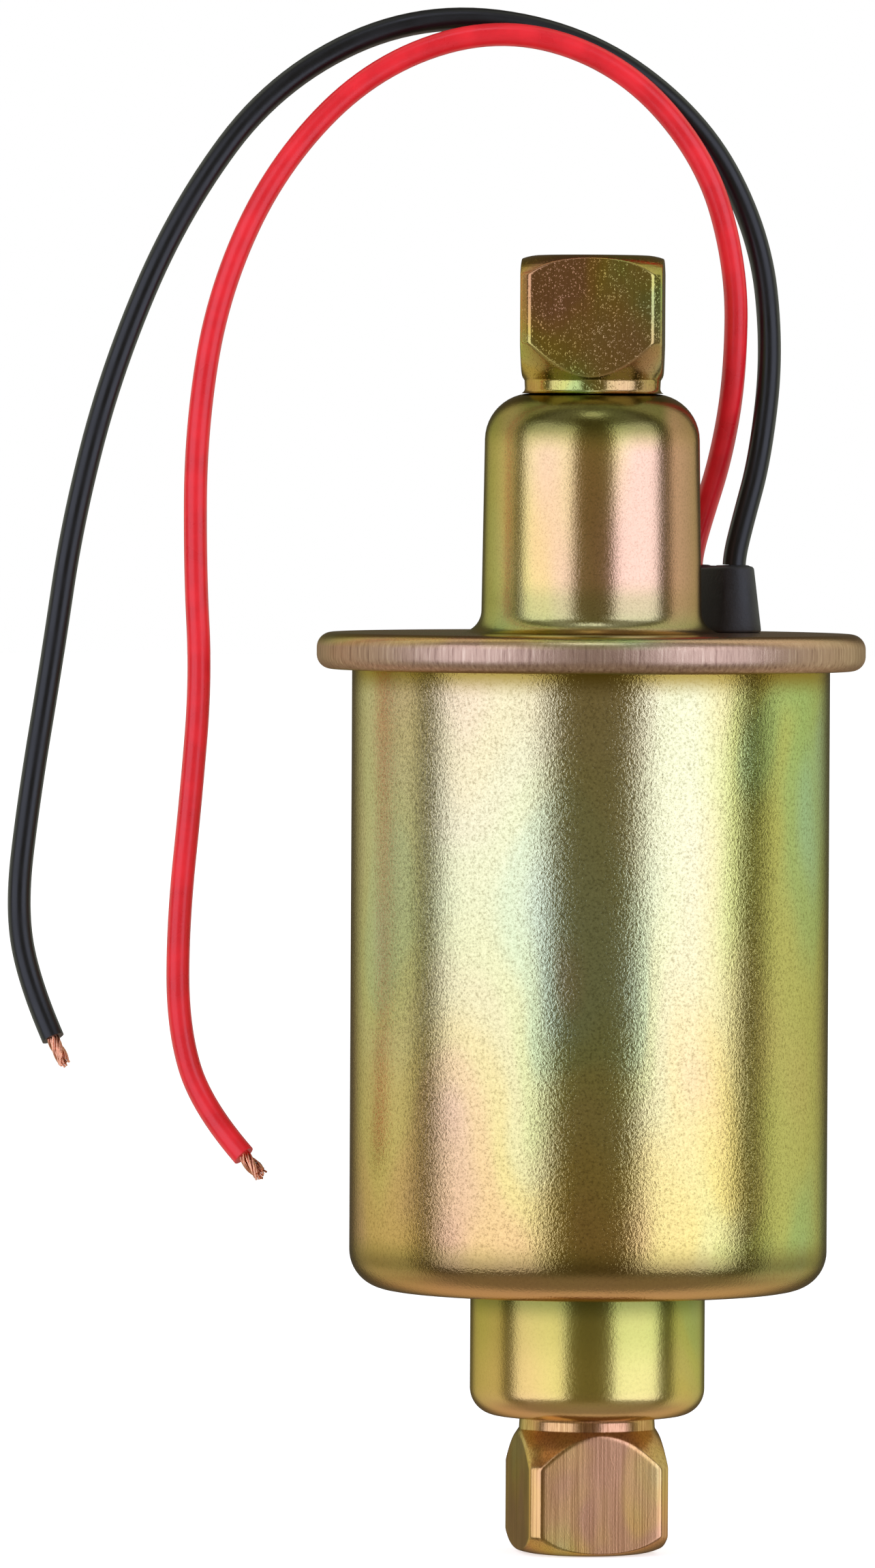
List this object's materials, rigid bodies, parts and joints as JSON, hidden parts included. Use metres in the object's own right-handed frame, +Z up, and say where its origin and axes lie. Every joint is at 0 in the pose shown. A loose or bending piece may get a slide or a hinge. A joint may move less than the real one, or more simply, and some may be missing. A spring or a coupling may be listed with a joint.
{
  "type": "electric fuel pump",
  "caption": "In-line solenoid fuel pump: a round steel can with a hemmed lid and dome, a square threaded port fitting at each end, a rubber grommet and two bare-ended leads.",
  "frame": {"origin": "centre of the inlet port's mouth, on the lower fitting's end face", "axes": "+Z up the pump's axis, from the inlet port to the outlet port; +X to the right as pictured; +Y away from the camera, the grommet lying between +X and +Y"},
  "size_m": [0.0957, 0.0612, 0.1728],
  "materials": {
    "zinc_shell": "satin",
    "zinc_fitting": "satin",
    "black_rubber": "matte",
    "black_insulation": "satin",
    "red_insulation": "satin",
    "copper": "polished",
    "brass_tube": "satin",
    "bright_steel": "satin",
    "bobbin_nylon": "matte",
    "board": "satin",
    "case_plastic": "matte",
    "resistor_body": "satin",
    "valve_plastic": "matte"
  },
  "bodies": {
    "housing": {"can": "zinc_shell", "lid": "zinc_shell", "port_fittings": "zinc_fitting", "lead_grommet": "black_rubber", "black_lead": "black_insulation", "red_lead": "red_insulation", "black_lead_strands": "copper", "red_lead_strands": "copper", "black_lead_tail": "black_insulation", "red_lead_tail": "red_insulation", "plunger_tube": "brass_tube", "lower_pole_plate": "bright_steel", "upper_pole_plate": "bright_steel", "coil_bobbin": "bobbin_nylon", "drive_coil": "copper", "circuit_board": "board", "coil_terminals": "brass_tube", "power_transistor": "case_plastic", "resistors": "resistor_body", "flyback_diode": "case_plastic", "plunger_spring": "bright_steel", "plunger_bumper": "black_rubber", "plunger_stop": "brass_tube", "inlet_valve_cage": "brass_tube"},
    "plunger": {"plunger": "bright_steel", "plunger_valve_cage": "brass_tube"},
    "plunger_valve": {"plunger_valve_disc": "valve_plastic"},
    "inlet_valve": {"inlet_valve_disc": "valve_plastic"}
  },
  "joints": [
    {"name": "plunger_slide", "type": "slide", "parent": "housing", "child": "plunger", "axis": [0, 0, 1], "range_m": [-0.007, 0], "stiffness_N_per_m": 300, "springref_m": 0.013, "deforming": ["plunger_spring"]},
    {"name": "plunger_valve_lift", "type": "slide", "parent": "plunger", "child": "plunger_valve", "axis": [0, 0, 1], "range_m": [0, 0.001]},
    {"name": "inlet_valve_lift", "type": "slide", "parent": "housing", "child": "inlet_valve", "axis": [0, 0, 1], "range_m": [0, 0.001]}
  ]
}
